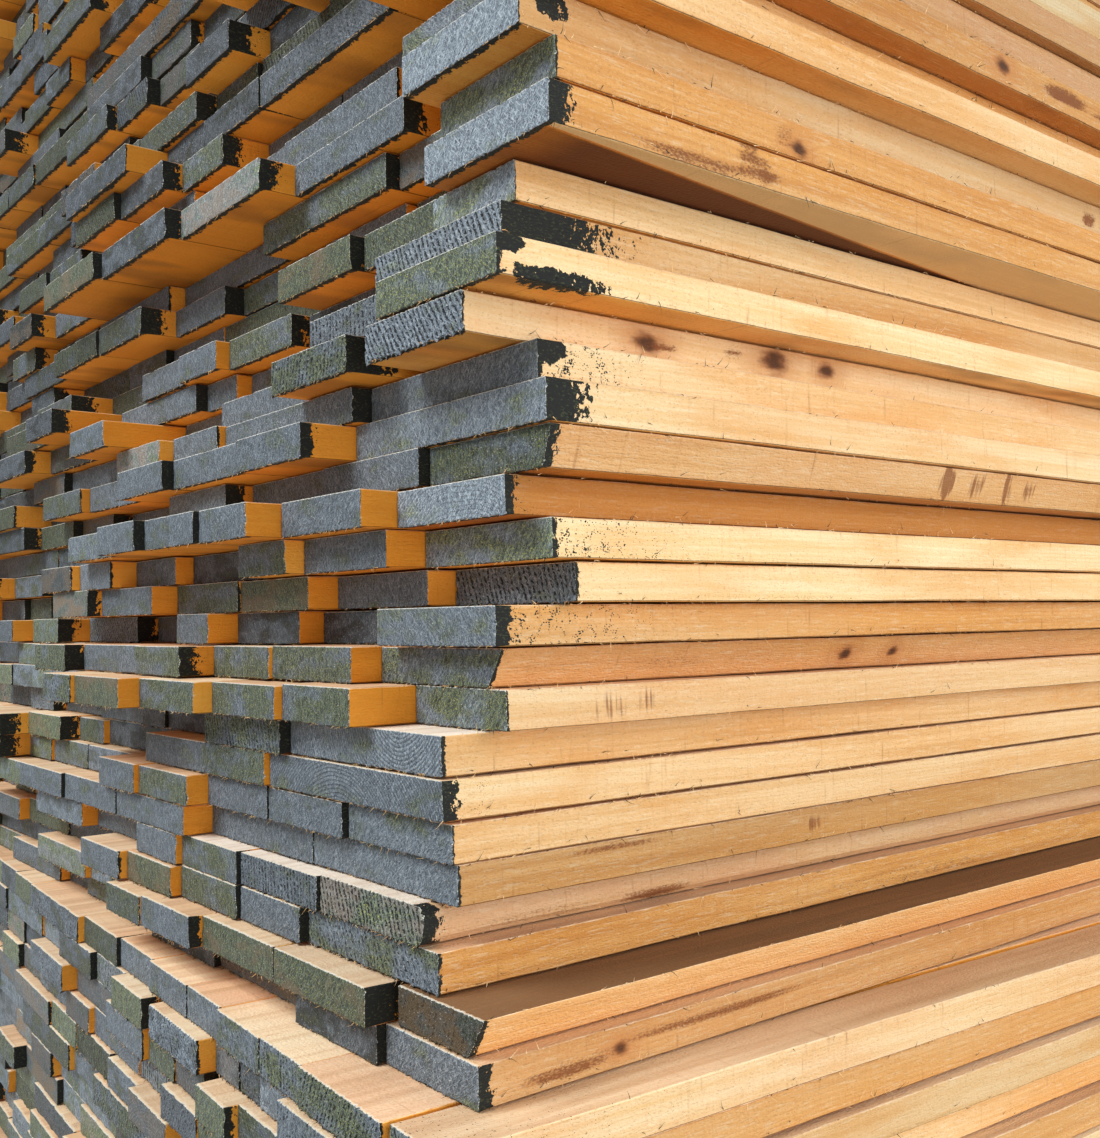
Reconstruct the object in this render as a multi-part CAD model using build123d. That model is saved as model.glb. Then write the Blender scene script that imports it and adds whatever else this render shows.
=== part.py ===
from build123d import *
import os
import random
from dataclasses import dataclass
from math import cos, radians, sin

# Dead-piled stack of rough-sawn boards: an upper bundle resting on a lower one.
# Millimetres. The boards lie along X, and +Z is up.
# While the boards are laid out, the upper bundle's near bottom corner is at x = 0, y = 0,
# x grows along the boards away from their near ends, and y grows away from the near side.
# At the end the whole stack is moved so that the origin is at the middle of its base.

# Driving dimensions
board_length = 2440.0
board_thickness = 28.0
narrowest_board = 85.0
widest_board = 225.0
bundle_width = 1400.0
upper_layers = 44
lower_layers = 16
side_joint = 1.0
upper_end_spread = 22.0
upper_standing_out = 34.0
lower_end_spread = 7.0
lower_standing_out = 9.0
standing_out_share = 0.15
side_spread = 16.0
top_stands_out = 70.0
length_spread = 17.0
wane_radius = 11.0

# The lower bundle stands out under the upper one on both near faces, and is turned a little.
ledge_at_end = 76.0
ledge_at_side = 32.0
lower_turn = 3.0


@dataclass
class Board:
    """One board where it lies, before its bundle is turned."""
    x: float
    y: float
    length: float
    width: float
    slant: float = 0.0
    wane: bool = False
    corner_off: tuple = ()


@dataclass
class Plan:
    """What the near corner shows of one layer.

    aside is how far its first board's edge is set back from the bundle's side face, and is less
    than nothing where it stands out. Each board after that, from the near side, has how far its
    end is set back from the bundle's end face, its width, and the open gap in front of it where
    that is wider than a joint. slant is how far the first board's sawn edge leans back at its
    underside, and wane says that this edge is round. corner_off is how far up, inward and along
    the board the lower near corner of its end is sawn away.
    """
    aside: float
    boards: list
    slant: float = 0.0
    wane: bool = False
    corner_off: tuple = ()


# The lower bundle's layers from its top one down, whose faces show on the ledge
lower_plans = [
    Plan(0, [(4, 56), (0, 118, 5), (2, 70), (1, 84), (4, 74), (3, 97), (6, 95)]),
    Plan(3, [(2, 98), (-4, 104), (7, 56), (8, 40), (7, 48), (-9, 118), (-10, 90, 18)]),
    Plan(-5, [(3, 110), (0, 88), (-2, 88), (-13, 60), (0, 66, 16), (-2, 66), (-8, 110)]),
    Plan(6, [(1, 124), (-4, 120), (-8, 100), (-10, 85), (5, 100)]),
    Plan(-8, [(2, 140), (0, 150), (2, 120), (-12, 100, 16), (-4, 92)]),
]

# The upper bundle's layers from the lowest up, as far as the near corner shows them
upper_plans = [
    Plan(2, [(-20, 108), (-27, 118), (-8, 178), (-14, 147), (-5, 143)]),
    Plan(-1, [(-18, 98), (-38, 136, 9), (-38, 132), (-50, 109), (-52, 86)], slant=17),
    Plan(55, [(-14, 177), (-22, 103), (-26, 115), (-36, 108), (-45, 109)]),
    Plan(66, [(-18, 140), (-21, 130), (-25, 114), (-31, 97), (-10, 174)], wane=True),
    Plan(46, [(-4, 196), (-5, 189), (-32, 169), (-33, 159), (-37, 158)]),
    Plan(44, [(-9, 135), (-14, 120), (-15, 117), (-35, 114), (-40, 96), (-5, 140), (-6, 118), (-10, 85)]),
    Plan(44, [(-16, 249), (-21, 123), (-20, 137), (12, 195), (5, 81), (-17, 124)]),
    Plan(48, [(-14, 213), (-23, 144), (8, 162), (4, 60), (10, 143), (20, 156)]),
    Plan(27, [(23, 109), (-31, 103), (-38, 113), (-55, 120), (-75, 118), (-80, 85)]),
    Plan(30, [(22, 152), (-4, 129), (-8, 108), (-40, 108), (-35, 161), (-55, 104)], slant=16),
    Plan(13, [(5, 147), (40, 146), (18, 120), (-11, 70), (40, 180), (17, 154)]),
    Plan(-2, [(59, 139), (35, 134), (8, 127), (5, 137), (-20, 142), (-35, 117)]),
    Plan(-8, [(35, 148), (2, 126), (-15, 86), (15, 168), (-3, 103), (-30, 93), (-40, 104)]),
    Plan(8, [(10, 130), (-20, 123), (-50, 90), (-55, 109), (-65, 96), (-50, 135)]),
    Plan(-27, [(20, 137), (11, 140), (14, 135), (-11, 129), (25, 198), (4, 102), (-7, 122)], slant=9),
    Plan(-30, [(15, 235), (-32, 113), (-28, 143), (-39, 115), (-20, 139), (-31, 132)]),
    Plan(-15, [(20, 205), (3, 228), (-5, 102), (-19, 116), (-4, 190), (-14, 118)]),
    Plan(3, [(-25, 119), (-24, 119, 28), (18, 190), (40, 141), (-45, 105), (-20, 150)]),
    Plan(-16, [(-24, 123), (-7, 130), (42, 209), (27, 66), (15, 205), (-60, 94), (-40, 153)],
         corner_off=(12.5, 17, 172)),
    Plan(-14, [(-6, 153), (35, 178), (18, 125), (5, 88), (10, 112), (25, 134), (-21, 129)]),
    Plan(-12, [(6, 93), (8, 97), (-3, 121), (40, 202), (39, 126), (30, 108), (31, 161)]),
    Plan(-67, [(-10, 133), (46, 97), (37, 128), (38, 162), (19, 119), (-17, 124), (-20, 146)]),
    Plan(-67, [(-4, 122), (21, 93), (10, 205), (33, 230), (15, 206), (13, 152)]),
    Plan(-61, [(-27, 127), (2, 166, 45), (-30, 160), (-45, 166), (-54, 163)]),
    Plan(-88, [(-12, 177), (8, 180, 40), (10, 145), (-10, 119), (0, 159), (11, 195)]),
    Plan(-60, [(20, 126), (30, 181), (29, 133), (-15, 90), (-34, 109)]),
]


def chance(what, layer, place):
    """A number from 0 to 1 that belongs to one board, whatever the other sizes are."""
    return random.Random(f"{what} {layer} {place}").random()


def spread(what, layer, place, reach):
    """A number from -reach to reach that belongs to one board."""
    return reach * (2 * chance(what, layer, place) - 1)


def end_back(layer, place):
    """How far a board's end is set back; now and then one stands well out."""
    in_lower = layer < lower_layers
    back = spread("end", layer, place, lower_end_spread if in_lower else upper_end_spread)
    if chance("stands out", layer, place) < standing_out_share:
        back -= lower_standing_out if in_lower else upper_standing_out
    return back


def layer_boards(layer, aside, plan=None):
    """The boards of one layer side by side, the planned ones first, out to the far side."""
    boards = []
    y = aside
    for place, (back, width, *gap) in enumerate(plan.boards if plan else []):
        y += sum(gap)
        boards.append(Board(back, y, 0, width))
        y += width + side_joint
    far_side = bundle_width + spread("far side", layer, 0, side_spread)
    while y < far_side:
        place = len(boards)
        width = narrowest_board + (widest_board - narrowest_board) * chance("width", layer, place) ** 2
        rest = far_side - y
        if rest - width - side_joint < narrowest_board:
            width = rest if rest <= widest_board else rest - side_joint - narrowest_board
        width = max(width, narrowest_board)
        boards.append(Board(end_back(layer, place), y, 0, width))
        y += width + side_joint
    for place, board in enumerate(boards):
        board.length = board_length + length_spread * chance("length", layer, place)
    if plan:
        boards[0].slant = plan.slant
        boards[0].wane = plan.wane
        boards[0].corner_off = plan.corner_off
    return boards


def section_points(board):
    """The board's section as (y, z) points, from its underside, with its near edge first."""
    return [
        (board.y + board.slant, 0),
        (board.y + board.width, 0),
        (board.y + board.width, board_thickness),
        (board.y, board_thickness),
    ]


def board_solid(board, z):
    """The board's section drawn out to its length."""
    section = Polygon(*section_points(board), align=None)
    if board.wane:
        near_corners = section.vertices().sort_by(Axis.X)[:2]
        section = fillet(near_corners, wane_radius)
    end_plane = Plane(origin=(board.x, 0, z), x_dir=(0, 1, 0), z_dir=(1, 0, 0))
    solid = extrude(end_plane * section, amount=board.length)
    if board.corner_off:
        up, inward, along = board.corner_off
        near_corner = Vector(board.x, board.y, z)
        lower_face_normal = Vector(1 / along, 1 / inward, 1 / up)
        cut_plane = Plane(origin=near_corner + Vector(0, 0, up), z_dir=lower_face_normal)
        solid = split(solid, bisect_by=cut_plane, keep=Keep.TOP)
    return solid


def lower_bundle():
    """The lower bundle's layers from the lowest up; the plans are for the top ones."""
    layers = []
    for layer in range(lower_layers):
        from_top = lower_layers - 1 - layer
        plan = lower_plans[from_top] if from_top < len(lower_plans) else None
        aside = plan.aside if plan else spread("side", layer, 0, side_spread)
        layers.append(layer_boards(layer, aside, plan))
    return layers


def upper_bundle():
    """The upper bundle's layers; above the planned ones the side stands out as at the last."""
    layers = []
    for number in range(upper_layers):
        layer = lower_layers + number
        plan = upper_plans[number] if number < len(upper_plans) else None
        aside = plan.aside if plan else spread("side", layer, 0, side_spread) - top_stands_out
        layers.append(layer_boards(layer, aside, plan))
    return layers


def turned(x, y):
    """A point of the lower bundle after it is turned about its own near corner."""
    angle = radians(-lower_turn)
    x_turned = x * cos(angle) - y * sin(angle) - ledge_at_end
    y_turned = x * sin(angle) + y * cos(angle) - ledge_at_side
    return x_turned, y_turned


def plan_corners(board):
    """The four corners of a board seen from above."""
    xs = (board.x, board.x + board.length)
    ys = (board.y, board.y + board.width)
    return [(x, y) for x in xs for y in ys]


lower = lower_bundle()
upper = upper_bundle()

# The middle of everything in plan, which becomes the origin
corners = [corner for boards in upper for board in boards for corner in plan_corners(board)]
corners += [turned(*corner) for boards in lower for board in boards for corner in plan_corners(board)]
middle_x = (min(x for x, y in corners) + max(x for x, y in corners)) / 2
middle_y = (min(y for x, y in corners) + max(y for x, y in corners)) / 2

lower_place = Location((-ledge_at_end - middle_x, -ledge_at_side - middle_y, 0), (0, 0, -lower_turn))
upper_place = Location((-middle_x, -middle_y, 0))

os.makedirs("parts", exist_ok=True)
for layer, boards in enumerate(lower + upper):
    in_lower = layer < lower_layers
    name = f"lower_layer_{layer + 1:02d}" if in_lower else f"upper_layer_{layer + 1 - lower_layers:02d}"
    place = lower_place if in_lower else upper_place
    solids = [place * board_solid(board, layer * board_thickness) for board in boards]
    export_step(Compound(children=solids), f"parts/{name}.step")

resting = lower[0][len(lower[0]) // 2]
resting_point = lower_place * Pos(resting.x + resting.length / 2, resting.y + resting.width / 2, 0)
print("near corner of the upper bundle:", -middle_x, -middle_y)
print("middle of the middle bottom board:", resting_point.position)
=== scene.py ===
import math
from dataclasses import dataclass, field

import bmesh
import bpy
import numpy as np
from mathutils import Matrix, Vector


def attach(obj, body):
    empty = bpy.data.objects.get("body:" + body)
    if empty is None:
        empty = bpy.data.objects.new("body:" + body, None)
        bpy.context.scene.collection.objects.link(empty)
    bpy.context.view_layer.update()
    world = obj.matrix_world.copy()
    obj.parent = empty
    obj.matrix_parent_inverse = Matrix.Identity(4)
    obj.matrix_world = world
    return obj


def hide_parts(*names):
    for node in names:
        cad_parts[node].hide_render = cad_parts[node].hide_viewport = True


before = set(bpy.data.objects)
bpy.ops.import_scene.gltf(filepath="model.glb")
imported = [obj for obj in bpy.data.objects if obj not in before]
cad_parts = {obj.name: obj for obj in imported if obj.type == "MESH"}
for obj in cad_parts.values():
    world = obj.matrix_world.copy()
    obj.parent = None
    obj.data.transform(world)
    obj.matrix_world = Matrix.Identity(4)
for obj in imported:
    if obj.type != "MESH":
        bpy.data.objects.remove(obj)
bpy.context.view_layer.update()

# Every layer of boards in the frame is shown by one mesh that takes its place. Each board of it is
# found in the frame's own mesh, and gets worn arrises, rough sawn ends and a grain of its own.
# Metres, in the row frame. A board's own x runs along it from its near end, y across from its near
# side and z up from its underside.

# Shape of a board
ARRIS = 0.0010
SLACK_LEAST = 0.0004
SLACK_MOST = 0.0020
EDGE_WAVE = 0.0009
SPLINTER = 0.0020
GROOVE_DEPTH = 0.0012
GROOVE_STEP = 0.0054

# Mesh steps: close to the near corner, on the near ends round it and further off, and at the far ends
CLOSE_STEP = 0.0017
NEAR_STEP = 0.0058
OUTER_STEP = 0.0085
FAR_STEP = 0.0120
CLOSE_PLACES = 2
CLOSE_LAYERS = 28
CLOSE_LOWER_LAYERS = 12
# Layer of the upper bundle above which boards off the near corner are drawn darker, as painted shade
PAINTED_SHADE_ABOVE_LAYER = 14
SIDE_STEP = 0.010
PLAIN_SIDE_STEP = 0.030
SIDE_FINE_LENGTH = 0.76
SIDE_COARSE_STEP = 0.12
SIDE_ROWS = 6
SHAPED_SIDE_ROWS = 17
MARK_DEPTH = 0.09

# Loose fibres on the sawn arrises near the corner
FIBRE_WIDTH = 0.00060
FIBRE_PLACES = 7

# The camera stands close to the near corner of the stack, as the photographer did
CAMERA_PLACE = (-1.66438, -1.23546, 0.74393)
CAMERA_YAW = 38.491
CAMERA_PITCH = 2.438
CAMERA_ROLL = -0.880
CAMERA_LENS = 38.638


def linear(red, green, blue):
    """A colour as seen on a screen, 0 to 255, as the linear values that materials take."""
    def one(value):
        value /= 255
        return value / 12.92 if value <= 0.04045 else ((value + 0.055) / 1.055) ** 2.4
    return (one(red), one(green), one(blue), 1.0)


@dataclass
class Mark:
    """A mark on a board's near side: its middle along the board and up it, and its half sizes."""
    x: float
    z: float
    long: float
    high: float
    strength: float = 1.0


@dataclass
class Look:
    """How one board looks. Lengths are in metres, and the rest are shares from 0 to 1."""
    lap: float = 0.006
    spatter: float = 0.2
    spatter_reach: float = 0.05
    green: float = 0.3
    dark: float = 0.3
    grooves: float = 0.0
    rings: float = 0.15
    warmth: float = 0.5
    brightness: float = 0.5
    pink: float = 0.1
    light: float = 0.5
    brown: float = 0.0
    # How a top face is drawn: every top is lightened towards near white as painted light, more as top rises from 1 to
    # 2; below 1 it is also darkened
    top: float = 1.0
    knots: list = field(default_factory=list)
    stains: list = field(default_factory=list)
    crosses: list = field(default_factory=list)
    patches: list = field(default_factory=list)


# Looks of the boards at the near corner, by bundle, layer and place from the near side
looks = {
    ("upper", 1, 0): Look(
        lap=0.012, spatter=0.3, warmth=0.75, brightness=0.3, pink=0.3, dark=0.1, green=0.1,
        stains=[Mark(0.07, 0.010, 0.05, 0.006, 0.8), Mark(0.20, 0.016, 0.10, 0.005, 0.6)],
        knots=[Mark(0.115, 0.013, 0.004, 0.004)],
    ),
    ("upper", 2, 0): Look(
        lap=0.006, spatter=0.1, grooves=0.25, warmth=0.6, brightness=0.8, dark=0.4, brown=0.9, light=0.1, top=0.0,
    ),
    ("upper", 3, 0): Look(
        lap=0.004, spatter=0.05, grooves=0.4, green=0.35, warmth=1.0, brightness=0.45,
        stains=[Mark(0.50, 0.010, 0.15, 0.008, 0.45)],
    ),
    ("upper", 4, 0): Look(
        lap=0.016, spatter=0.2, grooves=0.95, green=0.45, brown=0.5, light=0.75, warmth=0.45, brightness=0.35,
        pink=0.8, top=2.0,
        stains=[Mark(0.21, 0.004, 0.045, 0.004, 0.9), Mark(0.10, 0.008, 0.06, 0.005, 0.35)],
    ),
    ("upper", 5, 0): Look(
        lap=0.003, spatter=0.1, dark=0.1, green=0.05, warmth=0.7, brightness=0.15,
        crosses=[Mark(0.355, 0.014, 0.008, 0.009, 0.7)],
        stains=[Mark(0.14, 0.024, 0.05, 0.003, 0.5)],
    ),
    ("upper", 6, 0): Look(lap=0.003, spatter=0.05, green=0.25, dark=0.2, warmth=0.5, brightness=0.6),
    ("upper", 7, 0): Look(
        lap=0.014, spatter=0.45, spatter_reach=0.08, green=0.05, dark=0.15, rings=1.0, warmth=0.4, brightness=0.65,
    ),
    ("upper", 8, 0): Look(
        lap=0.005, spatter=0.1, green=0.05, dark=0.1, light=0.8, rings=0.9, warmth=0.5, brightness=0.55, top=1.8,
    ),
    ("upper", 9, 0): Look(
        lap=0.003, spatter=0.1, green=0.65, dark=0.7, grooves=0.15, warmth=0.35, brightness=0.6, pink=0.3,
        crosses=[Mark(0.09, 0.014, 0.02, 0.012, 0.45), Mark(0.125, 0.014, 0.01, 0.012, 0.5)],
    ),
    ("upper", 10, 0): Look(
        lap=0.004, spatter=0.15, green=0.5, dark=0.3, grooves=0.2, warmth=0.85, brightness=0.5, pink=0.45,
        knots=[Mark(0.365, 0.013, 0.005, 0.004), Mark(0.43, 0.013, 0.004, 0.003)],
        stains=[Mark(0.16, 0.010, 0.045, 0.007, 0.55), Mark(0.04, 0.011, 0.03, 0.004, 0.5)],
    ),
    ("upper", 11, 0): Look(
        lap=0.014, spatter=0.7, spatter_reach=0.22, dark=0.1, green=0.2, warmth=0.75, brightness=0.5,
    ),
    ("upper", 12, 0): Look(
        lap=0.004, spatter=0.25, spatter_reach=0.12, grooves=0.7, green=0.05, dark=0.1, warmth=0.25, brightness=0.8,
    ),
    ("upper", 13, 0): Look(
        lap=0.005, spatter=0.6, spatter_reach=0.20, green=0.6, dark=0.05, light=1.0, rings=0.3, warmth=0.2,
        brightness=0.9,
        patches=[Mark(0.028, 0.004, 0.010, 0.003, 0.9)],
    ),
    # This board is set back under the boards above it: its deep orange and darkness are painted shade
    ("upper", 14, 0): Look(
        lap=0.010, spatter=0.4, spatter_reach=0.06, green=0.1, dark=0.05, light=0.95, rings=0.4, warmth=1.6,
        brightness=0.0,
    ),
    ("upper", 15, 0): Look(
        lap=0.010, spatter=0.05, green=0.65, dark=0.6, light=0.3, grooves=0.15, warmth=0.65, brightness=0.5,
        pink=0.35,
        crosses=[Mark(0.43, 0.014, 0.013, 0.016, 1.3), Mark(0.475, 0.014, 0.008, 0.014, 1.0),
                 Mark(0.52, 0.014, 0.010, 0.016, 1.3), Mark(0.555, 0.014, 0.007, 0.014, 1.2)],
    ),
    ("upper", 16, 0): Look(
        lap=0.038, spatter=0.02, green=0.2, dark=0.05, light=0.65, warmth=0.2, brightness=0.7, pink=0.2,
    ),
    ("upper", 17, 0): Look(
        lap=0.006, spatter=0.8, spatter_reach=0.15, green=0.05, dark=0.25, warmth=0.4, brightness=0.65,
        patches=[Mark(0.012, 0.021, 0.016, 0.009, 0.9)],
    ),
    ("upper", 18, 0): Look(
        lap=0.003, spatter=0.02, grooves=1.0, dark=0.1, green=0.1, light=0.7, warmth=0.35, brightness=0.6, pink=0.3,
        knots=[Mark(0.158, 0.013, 0.007, 0.007), Mark(0.290, 0.016, 0.0085, 0.008), Mark(0.352, 0.016, 0.006, 0.006)],
        stains=[Mark(0.245, 0.017, 0.012, 0.006, 0.6), Mark(0.172, 0.010, 0.016, 0.003, 0.8)],
    ),
    ("upper", 19, 0): Look(
        lap=0.006, spatter=0.25, spatter_reach=0.10, green=0.8, dark=0.2, rings=0.1, warmth=0.3, brightness=0.9,
        patches=[Mark(0.062, 0.004, 0.045, 0.008, 2.4), Mark(0.012, 0.022, 0.014, 0.006, 0.9)],
    ),
    ("upper", 20, 0): Look(
        lap=0.100, spatter=0.95, spatter_reach=0.15, grooves=0.95, dark=0.1, green=0.05, light=0.75, warmth=0.6,
        brightness=0.4,
    ),
    ("upper", 21, 0): Look(
        lap=0.002, spatter=0.12, spatter_reach=0.3, green=0.35, dark=0.0, light=1.0, warmth=0.4, brightness=0.8,
    ),
    ("upper", 22, 0): Look(
        lap=0.020, spatter=0.05, green=0.0, dark=0.0, light=0.9, warmth=0.85, brightness=0.5,
        stains=[Mark(0.175, 0.021, 0.016, 0.012, 0.75), Mark(0.190, 0.010, 0.013, 0.012, 0.7),
                Mark(0.13, 0.004, 0.07, 0.005, 0.6)],
    ),
    ("upper", 23, 0): Look(
        lap=0.003, spatter=0.0, green=0.7, dark=0.05, light=0.6, warmth=0.85, brightness=0.5,
        knots=[Mark(0.220, 0.008, 0.005, 0.005)],
        stains=[Mark(0.205, 0.013, 0.008, 0.012, 0.6)],
    ),
    ("upper", 24, 0): Look(
        lap=0.002, spatter=0.2, green=0.1, dark=0.0, light=1.0, warmth=0.45, brightness=0.3, pink=0.1,
        patches=[Mark(0.029, 0.018, 0.016, 0.011, 1.0)],
        stains=[Mark(0.655, 0.010, 0.012, 0.008, 0.8)],
    ),
    ("upper", 25, 0): Look(lap=0.010, spatter=0.1, green=0.4, warmth=0.5, brightness=0.65),
    ("upper", 26, 0): Look(
        lap=0.020, spatter=0.2, green=0.5, warmth=0.8, brightness=0.4,
        stains=[Mark(0.78, 0.018, 0.06, 0.008, 1.0), Mark(0.88, 0.010, 0.05, 0.008, 0.9)],
    ),
    ("upper", 27, 0): Look(
        lap=0.020, spatter=0.1, green=0.5, warmth=0.9, brightness=0.3, pink=0.3,
        knots=[Mark(0.50, 0.016, 0.006, 0.007)],
        stains=[Mark(0.60, 0.016, 0.04, 0.009, 0.9), Mark(0.68, 0.012, 0.04, 0.006, 0.7)],
    ),
    ("lower", 16, 0): Look(
        lap=0.006, spatter=0.35, spatter_reach=0.30, warmth=0.4, brightness=0.7, pink=0.4, grooves=0.5, green=0.6,
        top=0.7,
    ),
    ("lower", 16, 1): Look(lap=0.003, spatter=0.05, warmth=0.2, brightness=0.7, pink=1.0, grooves=0.6, green=0.6),
    ("lower", 16, 2): Look(lap=0.003, spatter=0.02, warmth=0.2, brightness=0.9, grooves=0.4, green=0.5),
    ("lower", 16, 3): Look(lap=0.003, spatter=0.02, warmth=0.15, brightness=0.95, grooves=0.3, green=0.4),
    ("lower", 16, 4): Look(lap=0.003, spatter=0.02, warmth=0.3, brightness=0.8, pink=1.0, green=0.1),
    ("lower", 16, 5): Look(lap=0.003, spatter=0.02, warmth=0.1, brightness=1.0, green=0.1),
    ("lower", 16, 6): Look(lap=0.003, spatter=0.02, warmth=0.4, brightness=0.85, green=0.2),
    ("lower", 15, 1): Look(lap=0.003, warmth=0.3, green=0.1, grooves=0.35, dark=0.1),
    ("lower", 14, 3): Look(lap=0.010, warmth=0.3, green=1.0, dark=0.1),
}

# Looks of the upper bundle's further boards near the corner, for each layer from its second board
# on. The first letter is the painted end: slate, dark, green, very green, mottled, brown or cracked;
# the dark ends are partly darker paint and partly painted shade.
# The second is the near side: black, half black, orange, tan or scorched. An x adds rows of notches.
further_looks = {
    1: "dk bo dB", 2: "mB m- sb", 3: "sB gB mo", 4: "sbx gb so sk", 5: "s- so s- sB",
    6: "sk s- go so", 7: "go s- dk gt", 8: "gBx dk db so", 9: "go go gt mo", 10: "go gt gk so",
    11: "dk do so sB", 12: "st mo g- so", 13: "so gt dk so", 14: "so so sB sB", 15: "sB s- sk so",
    16: "sb sB sB s-", 17: "sB s- ct sB", 18: "gBx s- sk so", 19: "sox s- so sk", 20: "dk gk so s-",
    21: "Gk mk Gk so", 22: "gk so gk sB", 23: "bo gk so s-", 24: "sk ck dk mk", 25: "s- st do so",
    26: "so sB gk dk",
}
END_LOOKS = {
    "s": dict(green=0.1, dark=0.2, light=0.42),
    "d": dict(green=0.1, dark=0.8, light=0.25),
    "g": dict(green=0.65, dark=0.3, light=0.38),
    "G": dict(green=1.0, dark=0.5, light=0.3),
    "m": dict(green=0.7, brown=0.8, dark=0.3, light=0.38),
    "b": dict(green=0.2, brown=0.6, dark=0.3, light=0.4),
    "c": dict(green=0.3, brown=0.5, dark=0.2, light=0.9),
}
SIDE_LOOKS = {
    "-": dict(lap=0.004),
    "B": dict(lap=0.045, spatter=0.2, brightness=0.3),
    "k": dict(lap=0.020, spatter=0.6, warmth=0.9, brightness=0.3),
    "b": dict(lap=0.014, spatter=0.2, warmth=0.8),
    "o": dict(lap=0.001, spatter=0.05, warmth=0.95, brightness=0.45),
    "t": dict(lap=0.001, spatter=0.05, warmth=0.25, brightness=0.6),
}
# Layers whose further boards get the strongest painted light on their top faces
PAINTED_LIGHT_TOP_LAYERS = (4, 8)
for layer, words in further_looks.items():
    for place, word in enumerate(words.split(), 1):
        look = Look(**END_LOOKS[word[0]], **SIDE_LOOKS[word[1]], grooves=0.6 if word.endswith("x") else 0.0)
        look.top = 2.0 if layer in PAINTED_LIGHT_TOP_LAYERS else 1.0
        looks.setdefault(("upper", layer, place), look)

# The dark stripe that shows on one board's underside, next to its near edge
STRIPE_BOARD = ("upper", 22, 0)
STRIPE_START = 0.0
STRIPE_END = 0.42
STRIPE_NEAR = 0.006
STRIPE_FAR = 0.048
STRIPE_SOFTNESS = 0.0025


@dataclass
class Board:
    """One board: its near bottom corner, the way it lies, its size and the shape of its near edge."""
    bundle: str
    layer: int
    corner: np.ndarray
    along: np.ndarray
    length: float
    width: float
    thickness: float
    lean: float
    edge_round: float
    corner_off: tuple
    place: int = 0
    last: bool = False

    def chances(self, what):
        """Random numbers that belong to this board and to one use of them."""
        return np.random.default_rng([ord(self.bundle[0]), self.layer, self.place, what])

    def is_close(self):
        """Whether the board's end is one of those near the corner."""
        if self.bundle == "lower":
            return self.layer >= 15 and self.place < 6
        return self.layer <= CLOSE_LAYERS and self.place < CLOSE_PLACES

    def is_near(self):
        """Whether the board's layer is one of those round the corner."""
        return self.layer <= CLOSE_LAYERS if self.bundle == "upper" else self.layer >= CLOSE_LOWER_LAYERS

    def end_step(self):
        """How fine the mesh of the board's near end is."""
        if self.is_close():
            return CLOSE_STEP
        return NEAR_STEP if self.is_near() else OUTER_STEP


def islands(mesh):
    """The corner points of each separate board in a node's mesh."""
    shape = bmesh.new()
    shape.from_mesh(mesh)
    bmesh.ops.remove_doubles(shape, verts=shape.verts, dist=1e-5)
    left = set(shape.verts)
    found = []
    while left:
        waiting = [left.pop()]
        points = []
        while waiting:
            vertex = waiting.pop()
            points.append(vertex.co.copy())
            for edge in vertex.link_edges:
                other = edge.other_vert(vertex)
                if other in left:
                    left.remove(other)
                    waiting.append(other)
        found.append(np.array(points))
    shape.free()
    return found


def plan_direction(points):
    """The way a board lies, seen from above: the long axis of its corner points."""
    flat = points[:, :2] - points[:, :2].mean(axis=0)
    along = np.linalg.eigh(flat.T @ flat)[1][:, 1]
    return along if along[0] > 0 else -along


def corner_sawn_off(x, y, z):
    """How far up, inward and along a board its lower near corner is sawn away, or nothing."""
    low = z < z.min() + 1e-4
    at_end = x < x.min() + 1e-4
    on_side = y < y.min() + 1e-4
    if not (at_end & on_side).any() or not (low & at_end).any() or not (low & on_side).any():
        return ()
    reach = (z[at_end & on_side].min() - z.min(), y[low & at_end].min() - y.min(), x[low & on_side].min() - x.min())
    return reach if min(reach) > 1e-3 else ()


def boards_of(name):
    """The boards of a node, from the near side to the far side."""
    bundle, _, layer = name.split("_")
    boards = []
    for points in islands(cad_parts[name].data):
        along = plan_direction(points)
        x = points[:, :2] @ along
        y = points[:, :2] @ np.array([-along[1], along[0]])
        z = points[:, 2]
        near_below = y[z < z.min() + 1e-4].min()
        near_above = y[z > z.max() - 1e-4].min()
        is_round = len(points) > 8
        boards.append((y.min(), Board(
            bundle, int(layer),
            corner=np.array([*(along * x.min() + np.array([-along[1], along[0]]) * y.min()), z.min()]),
            along=along,
            length=x.max() - x.min(),
            width=y.max() - y.min(),
            thickness=z.max() - z.min(),
            lean=0.0 if is_round else near_below - near_above,
            edge_round=near_below - y.min() if is_round else 0.0,
            corner_off=corner_sawn_off(x, y, z),
        )))
    boards = [board for near, board in sorted(boards, key=lambda pair: pair[0])]
    for place, board in enumerate(boards):
        board.place = place
        board.last = place == len(boards) - 1
    return boards


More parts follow.
